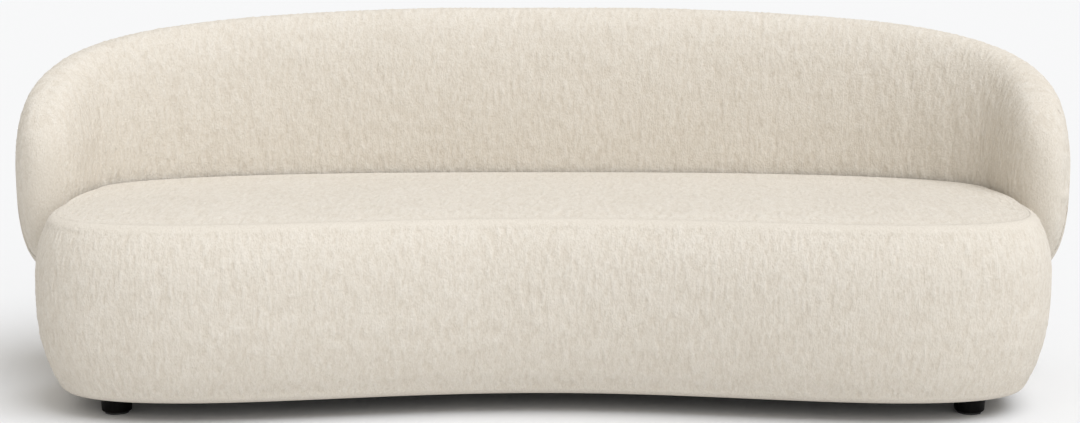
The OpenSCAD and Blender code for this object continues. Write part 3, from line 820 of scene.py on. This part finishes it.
def woven_material(name, pale, dark, threads, roughness):
    """Plain weave with a given number of threads a metre."""
    made, tree, shader = material(name, pale, roughness, Sheen_Weight=0.15)
    place = add(tree, "ShaderNodeTexCoord").outputs["Object"]
    across = add(tree, "ShaderNodeTexWave", bands_direction="X", Scale=threads / 20, Distortion=0.4)
    along = add(tree, "ShaderNodeTexWave", bands_direction="Y", Scale=threads / 20, Distortion=0.4)
    tree.links.new(place, across.inputs["Vector"])
    tree.links.new(place, along.inputs["Vector"])
    weave = blended(tree, "MULTIPLY", 1.0, across.outputs["Color"], along.outputs["Color"])
    color = ramp(tree, weave, (0.10, dark), (0.60, pale))
    tree.links.new(color, shader.inputs["Base Color"])
    bumped(tree, shader, weave, 0.0005, 0.6)
    return made


def plain_material(name, pale, dark, roughness, scale, **sockets):
    """Moulded or plated surface with a fine mottle and slight changes of gloss."""
    made, tree, shader = material(name, pale, roughness, **sockets)
    place = add(tree, "ShaderNodeTexCoord").outputs["Object"]
    mottle = noise(tree, place, scale, 4)
    tree.links.new(ramp(tree, mottle, (0.35, dark), (0.65, pale)), shader.inputs["Base Color"])
    shine = add(tree, "ShaderNodeMapRange")
    tree.links.new(mottle, shine.inputs["Value"])
    shine.inputs["To Min"].default_value = roughness - 0.08
    shine.inputs["To Max"].default_value = roughness + 0.10
    tree.links.new(shine.outputs["Result"], shader.inputs["Roughness"])
    bumped(tree, shader, mottle, 0.0001, 0.3)
    return made


boucle = boucle_material()
black_wood = wood_material("black_stained_wood", (0.0035, 0.0032, 0.0030), (0.0015, 0.0014, 0.0013),
                           0.48, 2, Specular_IOR_Level=0.08)
beech = wood_material("beech", (0.70, 0.50, 0.31), (0.52, 0.34, 0.19), 0.60, 0)
birch_plywood = plywood_material()
webbing = woven_material("elastic_webbing", (0.10, 0.10, 0.11), (0.02, 0.02, 0.022), 900, 0.85)
dust_cloth = woven_material("dust_cloth", (0.030, 0.030, 0.031), (0.012, 0.012, 0.013), 1600, 0.95)
zinc = plain_material("zinc_plated_steel", (0.62, 0.63, 0.65), (0.48, 0.49, 0.52), 0.35, 400, Metallic=1.0)
glide_plastic = plain_material("black_plastic", (0.020, 0.020, 0.021), (0.013, 0.013, 0.014), 0.50, 900)

FINISHES = {
    "plywood": birch_plywood,
    "hardwood": beech,
    "black_wood": black_wood,
    "webbing": webbing,
    "dust_cloth": dust_cloth,
    "zinc_steel": zinc,
    "glide_plastic": glide_plastic,
    "boucle": boucle,
    "foam": boucle,
}

# ---- The sofa ----

seat_band()
seat_top()
back_inner()
back_outer()

for subpart in frame["record"]["subparts"]:
    node = frame["nodes"][subpart["node"]]
    node.data.materials.clear()
    node.data.materials.append(FINISHES[subpart["material_slot"]])


# ---- Floor, light and camera ----

FLOOR_HALF = 60.0
FLOOR_COLOR = (0.77, 0.77, 0.77)
WORLD_STRENGTH = 0.62
WORLD_COLOR = (1.0, 0.975, 0.93, 1)
# Each sun: strength, spread in degrees, azimuth, elevation and colour
KEY = (1.95, 45, 52, 62, (0.950, 0.985, 1.05))
FILL = (0.62, 60, 22, 22, (1, 1, 1))
LENS_MM = 67.8
CAMERA_AT = (-0.0062, -4.326, 1.0585)
CAMERA_DOWN = 9.06
CLIP_END = 300


def floor():
    """A plain pale studio floor."""
    corners = np.array([[-1, -1, 0], [1, -1, 0], [1, 1, 0], [-1, 1, 0]]) * FLOOR_HALF
    mesh = bpy.data.meshes.new("studio_floor")
    mesh.from_pydata(corners.tolist(), [], [(0, 1, 2, 3)])
    stage = bpy.data.objects.new("studio_floor", mesh)
    bpy.context.scene.collection.objects.link(stage)
    mesh.materials.append(material("studio_floor", FLOOR_COLOR, 0.9, Specular_IOR_Level=0.0)[0])


def sun(name, strength, spread, azimuth, elevation, color):
    """Soft light from azimuth, 0 behind the camera and 90 from the right, and elevation above the floor."""
    light = bpy.data.lights.new(name, "SUN")
    light.energy = strength
    light.angle = math.radians(spread)
    light.color = color
    lamp = bpy.data.objects.new(name, light)
    lamp.rotation_euler = (math.radians(90 - elevation), 0, math.radians(azimuth))
    bpy.context.scene.collection.objects.link(lamp)


def studio():
    """Pale surroundings, a soft key light from the upper right and a weaker low fill."""
    world = bpy.data.worlds.new("studio")
    world.use_nodes = True
    background = world.node_tree.nodes["Background"]
    background.inputs["Color"].default_value = WORLD_COLOR
    background.inputs["Strength"].default_value = WORLD_STRENGTH
    bpy.context.scene.world = world
    sun("key", *KEY)
    sun("fill", *FILL)
    bpy.context.scene.view_settings.view_transform = "Standard"


def camera():
    """The camera, straight in front of the sofa and a little above its back, looking slightly down."""
    lens = bpy.data.cameras.new("camera")
    lens.lens = LENS_MM
    lens.clip_end = CLIP_END
    holder = bpy.data.objects.new("camera", lens)
    holder.location = CAMERA_AT
    holder.rotation_euler = (math.radians(90 - CAMERA_DOWN), 0, 0)
    bpy.context.scene.collection.objects.link(holder)
    bpy.context.scene.camera = holder


floor()
studio()
camera()
